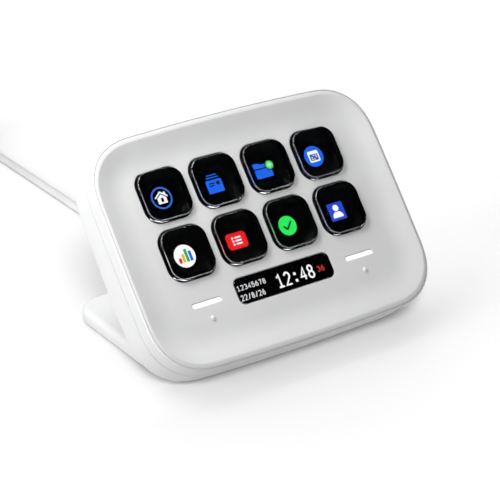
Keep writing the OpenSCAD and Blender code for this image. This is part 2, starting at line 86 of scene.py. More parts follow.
# Keys and displays
PITCH = 19.7
KEY_MIDS = [((c - 1.5) * PITCH, (0.5 - r) * PITCH) for r in (0, 1) for c in range(4)]
WINDOW_W, WINDOW_R = 17.5, 5
KEY_W, KEY_R, KEY_TOP, KEY_BEVEL = 16.3, 4.4, 1.4, 0.4
FLANGE_W, FLANGE_R, FLANGE_TOP, KEY_BOTTOM = 17.5, 5.0, -1.8, -2.3
LCD_TOP = -3.55
STRIP_Y, STRIP_W, STRIP_H, STRIP_R = -26.4, 36.8, 8.7, 2.2
BAR_X, BAR_Y, BAR_W, BAR_H = 29.55, -26.6, 10.8, 1.6
NUB_Y, NUB_R, NUB_H = -31.7, 0.78, 0.72
# Lead: the axis on which it leaves the back
LEAD_Z = 15
CORD_D = 3.0


# ---------- camera ----------


def make_camera():
    """Camera fitted to the photograph, in metres."""
    right = Vector((0.8216, -0.5701, -0.0049))
    up = Vector((0.2467, 0.3479, 0.9045))
    forward = Vector((0.5139, 0.7443, -0.4264))
    place = Vector((-0.3082, -0.4485, 0.2823))
    data = bpy.data.cameras.new("camera")
    data.sensor_width = 36
    data.lens = 133.56
    data.clip_start = 0.01
    data.clip_end = 50
    camera = bpy.data.objects.new("camera", data)
    bpy.context.scene.collection.objects.link(camera)
    rows = [(right[i], up[i], -forward[i], place[i]) for i in range(3)]
    camera.matrix_world = Matrix(rows + [(0, 0, 0, 1)])
    bpy.context.scene.camera = camera


make_camera()


# ---------- materials ----------


def linear(r, g, b):
    """sRGB 0..255 to linear."""
    return tuple(
        (c / 255 / 12.92) if c <= 10 else ((c / 255 + 0.055) / 1.055) ** 2.4
        for c in (r, g, b)
    ) + (1,)


def nodes_of(name):
    m = bpy.data.materials.new(name)
    m.use_nodes = True
    tree = m.node_tree
    return m, tree, tree.nodes["Principled BSDF"]


def noise(tree, scale, detail=2.0, vector=None):
    n = tree.nodes.new("ShaderNodeTexNoise")
    n.inputs["Scale"].default_value = scale
    n.inputs["Detail"].default_value = detail
    tree.links.new(vector or coords(tree), n.inputs["Vector"])
    return n.outputs["Fac"]


def coords(tree):
    found = tree.nodes.get("coords")
    if found is None:
        found = tree.nodes.new("ShaderNodeTexCoord")
        found.name = "coords"
    return found.outputs["Object"]


def ramp(tree, value, low, high, start=0.35, end=0.65):
    n = tree.nodes.new("ShaderNodeValToRGB")
    n.color_ramp.elements[0].position = start
    n.color_ramp.elements[1].position = end
    n.color_ramp.elements[0].color = low
    n.color_ramp.elements[1].color = high
    tree.links.new(value, n.inputs["Fac"])
    return n.outputs["Color"]


def span(tree, value, low, high, start=0.3, end=0.7):
    n = tree.nodes.new("ShaderNodeMapRange")
    for socket, number in zip(n.inputs[1:5], (start, end, low, high)):
        socket.default_value = number
    tree.links.new(value, n.inputs["Value"])
    return n.outputs["Result"]


def bump(tree, height, strength, distance):
    n = tree.nodes.new("ShaderNodeBump")
    n.inputs["Strength"].default_value = strength
    n.inputs["Distance"].default_value = distance
    tree.links.new(height, n.inputs["Height"])
    return n.outputs["Normal"]


def moulded(name, low, high, rough=(0.4, 0.5), grain=2200, grain_strength=0.12, patch=35):
    """Moulded plastic, rubber or paint: patches of tint and gloss, and a fine grain."""
    m, tree, bsdf = nodes_of(name)
    link = tree.links.new
    link(ramp(tree, noise(tree, patch, 3), low, high), bsdf.inputs["Base Color"])
    link(span(tree, noise(tree, patch * 6, 4), *rough), bsdf.inputs["Roughness"])
    link(bump(tree, noise(tree, grain, 2), grain_strength, 0.00004), bsdf.inputs["Normal"])
    return m


def brushed(name, low, high, rough, scale=(400, 400, 6000)):
    """Metal with fine turning marks along one axis."""
    m, tree, bsdf = nodes_of(name)
    link = tree.links.new
    mapping = tree.nodes.new("ShaderNodeMapping")
    mapping.inputs["Scale"].default_value = scale
    link(coords(tree), mapping.inputs["Vector"])
    marks = noise(tree, 1.0, 3, mapping.outputs["Vector"])
    link(ramp(tree, marks, low, high), bsdf.inputs["Base Color"])
    link(span(tree, marks, *rough), bsdf.inputs["Roughness"])
    link(bump(tree, marks, 0.15, 0.00003), bsdf.inputs["Normal"])
    bsdf.inputs["Metallic"].default_value = 1
    return m


def clear(name, tint, rough, ior=1.49):
    """Clear polycarbonate: faint flow marks in its gloss and level."""
    m, tree, bsdf = nodes_of(name)
    link = tree.links.new
    link(ramp(tree, noise(tree, 60, 2), tint, (1, 1, 1, 1), 0.2, 1.0), bsdf.inputs["Base Color"])
    link(span(tree, noise(tree, 260, 3), *rough), bsdf.inputs["Roughness"])
    link(bump(tree, noise(tree, 90, 1), 0.02, 0.0001), bsdf.inputs["Normal"])
    bsdf.inputs["Transmission Weight"].default_value = 1
    bsdf.inputs["IOR"].default_value = ior
    return m


def glowing(name, colour, strength, grid=9000):
    """Lit pixels: the colour is broken up a little by the grid of the display."""
    m, tree, bsdf = nodes_of(name)
    link = tree.links.new
    cells = tree.nodes.new("ShaderNodeTexChecker")
    cells.inputs["Scale"].default_value = grid
    link(coords(tree), cells.inputs["Vector"])
    dim = tuple(0.93 * c for c in colour[:3]) + (1,)
    link(ramp(tree, cells.outputs["Fac"], dim, colour, 0.0, 1.0), bsdf.inputs["Emission Color"])
    bsdf.inputs["Base Color"].default_value = (0.01, 0.01, 0.01, 1)
    bsdf.inputs["Emission Strength"].default_value = strength
    bsdf.inputs["Roughness"].default_value = 0.5
    return m


def grey(v, tint=0.0):
    return (v - tint, v, v + tint, 1)


WHITE = moulded("white_plastic", grey(0.72, 0.002), grey(0.75, 0.002), (0.42, 0.52))
BLACK = moulded("black_plastic", grey(0.006), grey(0.010), (0.25, 0.4), grain=3000)
RUBBER = moulded("pad_rubber", grey(0.02), grey(0.035), (0.7, 0.85), grain=1500, grain_strength=0.4)
MEMBRANE = moulded("membrane_rubber", grey(0.01), grey(0.018), (0.5, 0.7))
CORD = moulded("cord_jacket", grey(0.72, 0.002), grey(0.77, 0.002), (0.4, 0.55), grain=2600)
PLUG = moulded("plug_grip", grey(0.76, 0.002), grey(0.80, 0.002), (0.35, 0.45), grain=2600)
TIE = moulded("tie_band", grey(0.012), grey(0.02), (0.55, 0.7), grain=1800, grain_strength=0.5)
BOARD = moulded(
    "board_green", (0.01, 0.07, 0.03, 1), (0.015, 0.09, 0.04, 1), (0.3, 0.45), patch=120
)
CHIP = moulded("chip_black", grey(0.008), grey(0.014), (0.4, 0.55), patch=300)
RIBBON = moulded(
    "ribbon_amber", (0.35, 0.13, 0.02, 1), (0.45, 0.18, 0.03, 1), (0.25, 0.35), patch=90
)
GLASS_BLACK = moulded(
    "display_black", grey(0.0015), grey(0.003), (0.12, 0.2), patch=80, grain_strength=0.02
)
BACKLIGHT = moulded("backlight_white", grey(0.6), grey(0.7), (0.5, 0.6), patch=60)
STEEL = brushed("screw_steel", grey(0.42), grey(0.55), (0.25, 0.4))
WEIGHT = brushed("weight_steel", grey(0.3), grey(0.4), (0.35, 0.5), scale=(60, 3000, 60))
SHELL_METAL = brushed("plug_metal", grey(0.5), grey(0.6), (0.2, 0.3), scale=(4000, 60, 4000))
CLEAR = clear("key_clear", (0.86, 0.9, 0.97, 1), (0.0, 0.012))
LENS = clear("strip_clear", (0.80, 0.82, 0.86, 1), (0.02, 0.06))
BAR_GLOW = glowing("bar_light", (1, 1, 1, 1), 1.15, grid=400)
MILKY = moulded("bar_milky", grey(0.5), grey(0.6), (0.3, 0.4), patch=120)
INK_BLACK = moulded("pixel_black", grey(0.001), grey(0.002), (0.3, 0.4))
PIXELS = {
    "white": glowing("pixel_white", (1, 1, 1, 1), 1.15),
    "blue": glowing("pixel_blue", linear(14, 106, 246), 1.0),
    "ring": glowing("pixel_ring", linear(48, 106, 212), 1.0),
    "deep": glowing("pixel_deep", linear(32, 72, 215), 1.0),
    "green": glowing("pixel_green", linear(38, 245, 94), 1.05),
    "leaf": glowing("pixel_leaf", linear(84, 240, 104), 1.0),
    "mint": glowing("pixel_mint", linear(205, 255, 215), 1.0),
    "panel": glowing("pixel_panel", linear(38, 84, 170), 1.0),
    "grass": glowing("pixel_grass", linear(30, 175, 75), 1.0),
    "red": glowing("pixel_red", linear(246, 14, 18), 1.0),
    "soft_red": glowing("pixel_soft_red", linear(215, 50, 65), 0.9),
    "yellow": glowing("pixel_yellow", linear(250, 200, 20), 1.0),
    "text": glowing("pixel_text", (0.82, 0.83, 0.85, 1), 1.0),
    "black": INK_BLACK,
}


# ---------- meshes ----------


def mesh_object(name, points, faces, materials, where=DESK, face_materials=None):
    """Mesh from points in millimetres in the frame where, smooth, with its hard edges sharp."""
    mesh = bpy.data.meshes.new(name)
    mesh.from_pydata([MM * (where @ Vector(p)) for p in points], [], faces)
    for m in materials:
        mesh.materials.append(m)
    if face_materials:
        mesh.polygons.foreach_set("material_index", face_materials)
    shade(mesh)
    obj = bpy.data.objects.new(name, mesh)
    bpy.context.scene.collection.objects.link(obj)
    return obj


def shade(mesh, angle=35):
    b = bmesh.new()
    b.from_mesh(mesh)
    bmesh.ops.remove_doubles(b, verts=b.verts, dist=1e-7)
    bmesh.ops.recalc_face_normals(b, faces=b.faces)
    b.to_mesh(mesh)
    b.free()
    mesh.polygons.foreach_set("use_smooth", [True] * len(mesh.polygons))
    mesh.set_sharp_from_angle(angle=math.radians(angle))


def weigh(obj):
    """Shades the flat areas flat beside small rounded edges."""
    m = obj.modifiers.new("weigh", "WEIGHTED_NORMAL")
    m.keep_sharp = True
    m.weight = 80
    return obj


def keep(obj, replaces=(), body="base"):
    """Ties a piece to its body, and hides the CAD nodes it stands for."""
    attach(obj, body)
    if replaces:
        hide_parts(*replaces)
    return obj


def loft(rings, low_cap=True, high_cap=True, closed=False):
    """Points and faces of a skin through rings of equal length."""
    n, m = len(rings[0]), len(rings)
    points = [tuple(p) for ring in rings for p in ring]
    faces = []
    for k in range(m if closed else m - 1):
        a, b = k * n, (k + 1) % m * n
        for i in range(n):
            j = (i + 1) % n
            faces.append((a + i, a + j, b + j, b + i))
    if not closed and low_cap:
        faces.append(tuple(range(n - 1, -1, -1)))
    if not closed and high_cap:
        faces.append(tuple((m - 1) * n + i for i in range(n)))
    return points, faces


def joined(*shapes):
    """Several (points, faces) as one."""
    points, faces = [], []
    for p, f in shapes:
        base = len(points)
        points += p
        faces += [tuple(base + i for i in face) for face in f]
    return points, faces


def unit(v):
    return v / np.linalg.norm(v)


def rect(w, h, r, steps=10):
    """Rounded rectangle, counter-clockwise."""
    ring = []
    for corner in range(4):
        x = (w / 2 - r) * (1 if corner in (0, 3) else -1)
        y = (h / 2 - r) * (1 if corner < 2 else -1)
        for i in range(steps + 1):
            t = math.pi / 2 * (corner + i / steps)
            ring.append((x + r * math.cos(t), y + r * math.sin(t)))
    return ring


def flat(ring, z, mid=(0, 0)):
    return [(x + mid[0], y + mid[1], z) for x, y in ring]


def at(ring, x, y):
    return [(px + x, py + y) for px, py in ring]


def circle(r, n=48, mid=(0, 0)):
    turns = [2 * math.pi * i / n for i in range(n)]
    return [(mid[0] + r * math.cos(t), mid[1] + r * math.sin(t)) for t in turns]


def plate(ring, low, high, mid=(0, 0), edge=0.0):
    """Plate with that outline; edge rounds its upper rim."""
    if not edge:
        return loft([flat(ring, low, mid), flat(ring, high, mid)])
    rings = [flat(ring, low, mid)]
    for i in range(5):
        t = math.pi / 2 * i / 4
        smaller = inset(ring, edge * (1 - math.cos(t)))
        rings.append(flat(smaller, high - edge * (1 - math.sin(t)), mid))
    return loft(rings)


def inset(ring, d):
    """The ring moved inwards by d, for a smooth counter-clockwise ring."""
    n, out = len(ring), []
    for i in range(n):
        a, b = np.array(ring[i - 1]), np.array(ring[(i + 1) % n])
        t = unit(b - a)
        out.append((ring[i][0] - t[1] * d, ring[i][1] + t[0] * d))
    return out


def lathe(profile, n=48):
    """Solid turned round z from (radius, z) pairs; its first and last are on the axis."""
    return loft([flat(circle(r, n), z) for r, z in profile[1:-1]])


def apply_boolean(obj, cutter, operation):
    """Joins the cutter to obj or cuts it out, and removes it."""
    m = obj.modifiers.new("cut", "BOOLEAN")
    m.operation = operation
    m.solver = "EXACT"
    m.object = cutter
    graph = bpy.context.evaluated_depsgraph_get()
    mesh = bpy.data.meshes.new_from_object(obj.evaluated_get(graph))
    obj.modifiers.clear()
    obj.data = mesh
    bpy.data.objects.remove(cutter)
    shade(mesh)


# ---------- body ----------


def outline(d, more_y=0.0, corner=24, side=8):
    """Body outline inset by d, and by more_y more at its top and bottom."""
    a, b, r = HALF_W - BOW_X - d, HALF_H - BOW_Y - d - more_y, CORNER_R - d
    power = 2 / ROUNDNESS
    q = [(a, (b - r) * i / side) for i in range(side)]
    for i in range(corner + 1):
        t = math.pi / 2 * i / corner
        x, y = max(math.cos(t), 0) ** power, max(math.sin(t), 0) ** power
        q.append((a - r + r * x, b - r + r * y))
    q += [((a - r) * (1 - i / side), b) for i in range(1, side + 1)]
    n = len(q) - 1
    ring = [q[i] for i in range(n)]
    ring += [(-q[i][0], q[i][1]) for i in range(n, 0, -1)]
    ring += [(-q[i][0], -q[i][1]) for i in range(n)]
    ring += [(q[i][0], -q[i][1]) for i in range(n, 0, -1)]
    bowed = []
    for x, y in ring:
        wider, higher = BOW_X / a * (1 - (y / b) ** 2), BOW_Y / b * (1 - (x / a) ** 2)
        bowed.append((x * (1 + wider), y * (1 + higher) + OUTLINE_MID_Y))
    return bowed


def body_ring(d, z, more_y=0.0):
    return flat(outline(d, more_y), z)


def dish_height(s):
    """Height of the dish over the face: straight below the lip, then curved until it is flat."""
    slope = LIP_H / (STRAIGHT + (1 - STRAIGHT) / 2)
    if s < STRAIGHT:
        return LIP_H - slope * s
    return slope * (1 - s) ** 2 / (2 * (1 - STRAIGHT))


def back_depth(y):
    """Depth of the flat back behind the face, at height y on it."""
    return BODY_T - BACK_SLOPE * (y - OUTLINE_MID_Y)


def back_ring(d, depth_less, t):
    """Ring of the rounded back at arc angle t, inset by d and less deep by depth_less."""
    ring = []
    for x, y in outline(d):
        out = np.array([x, y - OUTLINE_MID_Y])
        low = max(0.0, -out[1]) / HALF_H
        r = BACK_R + BACK_R_MORE * low**3 - d
        q = np.array([x, y]) - r * (1 - math.cos(t)) * out / np.linalg.norm(out)
        ring.append((q[0], q[1], -back_depth(q[1]) + depth_less + r * (1 - math.sin(t))))
    return ring


def fill_with_holes(outer, holes, z, up):
    """Faces of a flat area with holes, as (points, faces)."""
    b = bmesh.new()
    for ring in [outer, *holes]:
        verts = [b.verts.new((x, y, z)) for x, y in ring]
        for i in range(len(verts)):
            b.edges.new((verts[i - 1], verts[i]))
    bmesh.ops.triangle_fill(
        b, edges=b.edges[:], use_beauty=True, use_dissolve=False, normal=(0, 0, up)
    )
    b.verts.index_update()
    points = [tuple(v.co) for v in b.verts]
    faces = [tuple(v.index for v in f.verts) for f in b.faces]
    b.free()
    return points, faces


def openings():
    """Outlines of the windows, the strip's slot and the bars' slots in the bezel."""
    rings = [at(rect(WINDOW_W, WINDOW_W, WINDOW_R), x, y) for x, y in KEY_MIDS]
    rings.append(at(rect(STRIP_W + 0.2, STRIP_H + 0.2, STRIP_R + 0.1), 0, STRIP_Y))
    for side in (-1, 1):
        rings.append(at(rect(BAR_W + 0.1, BAR_H + 0.1, BAR_H / 2), side * BAR_X, BAR_Y))
    return rings


def tube(x, y, outer, inner, low, high):
    """Boss or ring with a bore, standing along z."""
    section = ((inner, low), (outer, low), (outer, high), (inner, high))
    return loft([flat(circle(r, 32, (x, y)), z) for r, z in section], closed=True)


def lip_and_dish():
    """Skin from the plate's lower edge over the lip down to the flat key field."""
    dish_steps, lip_steps = 26, 6
    rings = [body_ring(BEZEL_INSET, -BEZEL_T), body_ring(BEZEL_INSET, LIP_LOW)]
    rings.append(body_ring(LIP_FOOT, LIP_LOW))
    for i in range(lip_steps + 1):
        t = i / lip_steps
        d, z = LIP_FOOT + (LIP_EDGE - LIP_FOOT) * t, LIP_H - LIP_ROUND * (1 - t) ** 2
        rings.append(body_ring(d, z, LIP_MORE_Y * t))
    for i in range(1, dish_steps + 1):
        s = i / dish_steps
        rings.append(body_ring(LIP_EDGE + DISH_W * s, dish_height(s), LIP_MORE_Y))
    return loft(rings, low_cap=False, high_cap=False)


def rounded_rim(ring):
    """Wall of an opening, from its rounded upper rim to the plate's underside."""
    turns = np.linspace(0, math.pi / 2, 5)
    steps = [(RIM * (1 - math.sin(t)), -RIM * (1 - math.cos(t))) for t in turns]
    rings = [flat(inset(ring, -d), z) for d, z in steps]
    return loft(rings + [flat(ring, -BEZEL_T)], low_cap=False, high_cap=False)


def touch_nub(x, y):
    """Small dome on the key field."""
    root = -0.1
    profile = [(0, root), (NUB_R, root)]
    profile += [(NUB_R * math.cos(t), NUB_H * math.sin(t)) for t in np.linspace(0, 1.45, 9)]
    points, faces = lathe([*profile, (0, NUB_H)], 32)
    return [(px + x, py + y, z) for px, py, z in points], faces


def make_bezel():
    shapes = [lip_and_dish()]
    shapes += [rounded_rim(ring) for ring in openings()]
    upper_holes = [inset(ring, -RIM) for ring in openings()]
    field = outline(LIP_EDGE + DISH_W, LIP_MORE_Y)
    shapes.append(fill_with_holes(field, upper_holes, 0, 1))
    shapes.append(fill_with_holes(outline(BEZEL_INSET), openings(), -BEZEL_T, -1))
    for side in (-1, 1):
        shapes.append(touch_nub(side * BAR_X, NUB_Y))
        for y in CASE_SCREW_ROWS:
            shapes.append(tube(side * CASE_SCREW_X, y, *CASE_BOSS, -BEZEL_T))
        shapes.append(tube(side * BOARD_POST_X, BOARD_POST_Y, *BOARD_POST, -BEZEL_T))
    bezel = mesh_object("bezel", *joined(*shapes), [WHITE], FACE)
    keep(weigh(bezel), ["front_bezel"])


# Section of the side band: (inset, height)
BAND = (
    (1.7, -3.35), (0.12, -3.35), (0.04, -3.31), (0, -3.2), (0, 1.4), (0.03, 1.7), (0.1, 1.93),
    (0.22, 2.1), (0.35, 2.18), (0.5, 2.2), (0.5, 1.45), (1.7, 1.45),
)


def make_mid_frame():
    skin = loft([body_ring(d, z) for d, z in BAND], closed=True)
    keep(weigh(mesh_object("mid_band", *skin, [WHITE], FACE)), ["mid_frame"])


def back_form(d, depth_less, steps=18):
    """Rings of the back cover's form, from its flat middle to its open edge."""
    rings = [back_ring(d, depth_less, math.pi / 2 * (1 - i / steps)) for i in range(steps + 1)]
    return rings + [body_ring(d, BACK_TOP)]


def rod(r, low, high, where):
    """Cylinder along the z axis of the frame where, as points of the desk frame."""
    points, faces = loft([flat(circle(r), low), flat(circle(r), high)])
    return [tuple(where @ Vector(p)) for p in points], faces


def on_face(x, y):
    """Frame on the face, square to it."""
    return FACE @ Matrix.Translation((x, y, 0))


def on_back(x, y):
    """Frame on the flat back: z out of the back."""
    lean = Matrix.Rotation(math.atan(BACK_SLOPE), 4, "X")
    turn = Matrix.Rotation(math.pi, 4, "X")
    middle = FACE @ Matrix.Translation((0, y, -back_depth(y)))
    return middle @ lean @ turn @ Matrix.Translation((x, 0, 0))


def along_lead(y):
    """Frame on the lead's axis inside the back: z straight away over the desk."""
    return Matrix.Translation((0, y, LEAD_Z)) @ Matrix.Rotation(-math.pi / 2, 4, "X")


def make_rear_shell():
    boss_r, out = 3, -30
    outer, inner = back_form(0, 0), back_form(WALL, WALL)
    shell = mesh_object("rear_cover", *loft(outer + inner[::-1]), [WHITE], FACE)
    bosses = [rod(boss_r, -back_depth(y) + 0.5, -9.2, on_face(x, y)) for x, y in CASE_SCREWS]
    bosses += [rod(boss_r, -4, -0.5, on_back(x, y)) for x, y in FOOT_SCREWS]
    bores = [rod(1.3, -9, out, on_face(x, y)) for x, y in CASE_SCREWS]
    bores += [rod(1.45, -3.2, 5, on_back(x, y)) for x, y in FOOT_SCREWS]
    bores.append(rod(3.3, 0, 30, along_lead(-20)))
    seats = [rod(2.45, -11.5, out, on_face(x, y)) for x, y in CASE_SCREWS]
    for name, rods, operation in (
        ("bosses", bosses, "UNION"), ("bores", bores, "DIFFERENCE"), ("seats", seats, "DIFFERENCE")
    ):
        apply_boolean(shell, mesh_object(name, *joined(*rods), [WHITE]), operation)
    keep(weigh(shell), ["rear_shell"])


make_bezel()
make_mid_frame()
make_rear_shell()


# ---------- foot ----------


def side_point(y, z):
    """A point of the face frame seen from the side, as (Y, Z) of the desk frame."""
    p = FACE @ Vector((0, y, z))
    return p.y, p.z


def arm_profile():
    """Side outline of an arm, with a fillet where it leaves the plate and a rounded tip."""
    low, high = ARM_ROWS
    p0 = np.array(side_point(low, -back_depth(low) - ARM_T))
    p1 = np.array(side_point(high, -back_depth(high) - ARM_T))
    d = unit(p1 - p0)
    corner = p0 + d * (FOOT_TOP - p0[1]) / d[1]
    angle = math.atan2(d[1], d[0])
    mid = corner + np.array([ARM_FILLET / math.tan(angle / 2), ARM_FILLET])
    points = [(mid[0], ARM_LOW), (mid[0], FOOT_TOP)]
    for i in range(1, 13):
        t = -math.pi / 2 - (math.pi - angle) * i / 12
        points.append((mid[0] + ARM_FILLET * math.cos(t), mid[1] + ARM_FILLET * math.sin(t)))
    out = np.array([d[1], -d[0]])
    tip_mid = p1 - d * ARM_TIP - out * ARM_TIP
    for i in range(7):
        t = math.pi / 2 * i / 6
        points.append(tuple(tip_mid + ARM_TIP * (math.cos(t) * out + math.sin(t) * d)))
    points += [side_point(y, -back_depth(y) + 1) for y in (high, low)]
    points.append((points[-1][0], ARM_LOW))
    return points


def foot_plate():
    """Plate with a chamfered lower rim and a rounded upper one."""
    steps, round_steps = 16, 10
    rims = [(0.4, FOOT_UNDER), (0.1, 0.62), (0, 0.9)]
    for i in range(round_steps + 1):
        t = math.pi / 2 * i / round_steps
        rims.append((FOOT_ROUND * (1 - math.cos(t)), FOOT_TOP - FOOT_ROUND * (1 - math.sin(t))))
    return loft([
        flat(rect(FOOT_W - 2 * e, FOOT_DEPTH - 2 * e, FOOT_R - e, steps), z, FOOT_MID)
        for e, z in rims
    ])


def make_foot():
    foot = mesh_object("foot_shell", *foot_plate(), [WHITE])
    side = arm_profile()
    for span_x in ARM_SPANS:
        arm = mesh_object("arm", *loft([[(x, y, z) for y, z in side] for x in span_x]), [WHITE])
        bevel = arm.modifiers.new("bevel", "BEVEL")
        bevel.width = 0.45 * MM
        bevel.segments = 3
        bevel.limit_method = "ANGLE"
        bevel.angle_limit = math.radians(60)
        apply_boolean(foot, arm, "UNION")
    near_body = FACE @ Matrix.Translation((0, 0, -FOOT_GAP))
    cutters = [mesh_object("body_form", *loft(back_form(0, 0)), [WHITE], near_body)]
    for w, h, r, low, high in POCKETS:
        pocket = plate(rect(w, h, r), low, high, POCKET_MID)
        cutters.append(mesh_object("pocket", *pocket, [WHITE]))
    for x, y in FOOT_SCREWS:
        for r, low in FOOT_HOLES:
            cutters.append(mesh_object("bore", *rod(r, low, 14, on_back(x, y)), [WHITE]))
    for cutter in cutters:
        apply_boolean(foot, cutter, "DIFFERENCE")
    keep(weigh(foot), ["foot"])


make_foot()


# ---------- keys ----------


def key_rings(mid, steps=12):
    """Rings of a cap, from its flange to its rounded upper edge."""
    rings = [flat(rect(FLANGE_W, FLANGE_W, FLANGE_R), z, mid) for z in (KEY_BOTTOM, FLANGE_TOP)]
    rings.append(flat(rect(KEY_W, KEY_W, KEY_R), FLANGE_TOP, mid))
    for i in range(steps + 1):
        t = math.pi / 2 * i / steps
        e, z = KEY_BEVEL * (1 - math.cos(t)), KEY_TOP - KEY_BEVEL * (1 - math.sin(t))
        rings.append(flat(rect(KEY_W - 2 * e, KEY_W - 2 * e, KEY_R - e), z, mid))
    return rings


CAPS = []
for number, key_mid in enumerate(KEY_MIDS, 1):
    cap = mesh_object(f"cap_{number}", *loft(key_rings(key_mid)), [CLEAR], FACE)
    keep(weigh(cap), [f"key_{number}"], f"key_{number}_body")
    CAPS.append(cap)


# ---------- pictures on the displays ----------

LAYER = 0.02


def picture(name, layers, mid):
    """Flat shapes laid on the panel: (outline or ("ring", outer, inner), colour, layer)."""
    shapes, used, face_materials = [], [], []
    for ring, colour, level in layers:
        if colour not in used:
            used.append(colour)
        z = LCD_TOP + LAYER * level
        if ring[0] == "ring":
            points, faces = tube(0, 0, ring[1], ring[2], z, z + LAYER)
        else:
            points, faces = loft([flat(ring, z), flat(ring, z + LAYER)])
        shapes.append(([(x + mid[0], y + mid[1], h) for x, y, h in points], faces))
        face_materials += [used.index(colour)] * len(faces)
    shown = mesh_object(name, *joined(*shapes), [PIXELS[c] for c in used], FACE, face_materials)
    keep(shown)


def bar(x0, x1, y, h):
    """Short line with round ends."""
    return at(rect(x1 - x0, h, h * 0.45, 4), (x0 + x1) / 2, y)


def stroke(a, b, w):
    """Straight stroke from a to b."""
    a, b = np.array(a, float), np.array(b, float)
    d = unit(b - a)
    n = np.array([-d[1], d[0]]) * w / 2
    return [tuple(a - n), tuple(b - n), tuple(b + n), tuple(a + n)]


def dome(w, low, high, r):
    """Shoulders: flat below, round above."""
    ring = [(-w / 2, low), (w / 2, low)]
    for x, start in ((w / 2 - r, 0), (-w / 2 + r, math.pi / 2)):
        for t in np.linspace(start, start + math.pi / 2, 9):
            ring.append((x + r * math.cos(t), high - r + r * math.sin(t)))
    return ring


CALENDAR_DOTS = [(0, 1), (1, 1), (-1, 0), (1, 0), (-1, -1), (0, -1)]
CHART_BARS = [
    (-1.98, 1.7, "red"), (-0.66, 2.8, "yellow"), (0.66, 4.2, "grass"), (1.98, 3.3, "blue"),
]
LIST_ROWS = (1.05, 0, -1.05)
HOUSE = [(-1.62, -1.84), (1.62, -1.84), (1.62, 0.0), (0, 1.22), (-1.62, 0.0)]
ROOF = [(-2.38, 0.42), (-2.12, 0.08), (0, 1.66), (2.12, 0.08), (2.38, 0.42), (0, 2.3)]
CHIMNEY = [(1.18, 1.2), (1.78, 0.8), (1.78, 1.85), (1.18, 1.85)]
FOLDER_BACK = [(-3.95, 0.82), (2.3, 0.82), (2.3, 2.02), (-1.1, 2.02), (-1.9, 2.58), (-3.95, 2.58)]
PICTURES = [
    [  # home
        (("ring", 3.69, 3.1), "ring", 0),
        (HOUSE, "white", 0),
        (ROOF, "white", 0),
        (CHIMNEY, "white", 0),
        (at(rect(0.95, 1.4, 0.3, 4), 0.07, -0.66), "black", 1),
    ],
    [  # stack of cards
        (at(rect(5.9, 4.45, 0.6), 0.06, -0.86), "blue", 0),
        (bar(-2.3, 2.4, 2.12, 0.36), "blue", 0),
        (bar(-1.85, 1.95, 2.96, 0.34), "blue", 0),
        (bar(-1.9, 0.42, 0.22, 0.42), "black", 1),
        (bar(-1.9, -0.15, -0.56, 0.42), "black", 1),
        (at(circle(0.66, 24), 1.46, 0.0), "black", 1),
    ],
    [  # folder with a plus
        (at(rect(6.45, 3.05, 0.5), -0.72, -1.1), "blue", 0),
        (FOLDER_BACK, "blue", 0),
        (at(circle(1.78, 32), 2.22, 1.2), "black", 1),
        (at(circle(1.42, 32), 2.22, 1.2), "leaf", 2),
        (at(rect(1.7, 0.42, 0.1, 2), 2.22, 1.2), "mint", 3),
        (at(rect(0.42, 1.7, 0.1, 2), 2.22, 1.2), "mint", 3),
    ],
    [  # calendar
        (circle(3.62, 64), "blue", 0),
        (rect(4.1, 3.9, 0.5), "white", 1),
        (at(rect(3.1, 2.2, 0.25, 4), 0, -0.3), "panel", 2),
        *[(at(circle(0.24, 12), 0.86 * x, -0.3 + 0.64 * y), "white", 3) for x, y in CALENDAR_DOTS],
    ],
    [  # chart on a disc
        (circle(3.74, 64), "white", 0),
        *[(at(rect(1.0, h, 0.2, 3), x, h / 2 - 2.0), colour, 1) for x, h, colour in CHART_BARS],
    ],
    [  # list on a plate
        (rect(7.43, 5.4, 1.3), "red", 0),
        *[(bar(-0.55, 1.75, y, 0.5), "white", 1) for y in LIST_ROWS],
        *[(at(circle(0.34, 16), -1.4, y), "white", 1) for y in LIST_ROWS],
    ],
    [  # tick on a disc
        (circle(3.3, 64), "green", 0),
        (stroke((-1.65, 0.1), (-0.35, -1.25), 0.6), "black", 1),
        (stroke((-0.56, -1.25), (1.75, 1.2), 0.6), "black", 1),
    ],
    [  # person on a plate
        (rect(6.04, 6.04, 0.35), "deep", 0),
        (at(circle(1.1, 32), 0, 1.2), "white", 1),
        (dome(4.0, -2.1, -0.15, 1.6), "white", 1),
    ],
]
# Middle of each picture against the middle of its key
SHIFTS = [
    (-0.05, -0.32), (-0.13, -0.32), (-0.1, -0.32), (-0.2, -0.37),
    (-0.03, -0.37), (-0.13, -0.35), (-0.13, -0.35), (-0.13, -0.45),
]
for number, (key_mid, shift, layers) in enumerate(zip(KEY_MIDS, SHIFTS, PICTURES), 1):
    picture(f"picture_{number}", layers, (key_mid[0] + shift[0], key_mid[1] + shift[1]))


def arc(x, y, rx, ry, start, end, steps=14):
    """Points on an ellipse round (x, y), angles in degrees."""
    turns = [math.radians(start + (end - start) * i / steps) for i in range(steps + 1)]
    return [(x + rx * math.cos(t), y + ry * math.sin(t)) for t in turns]


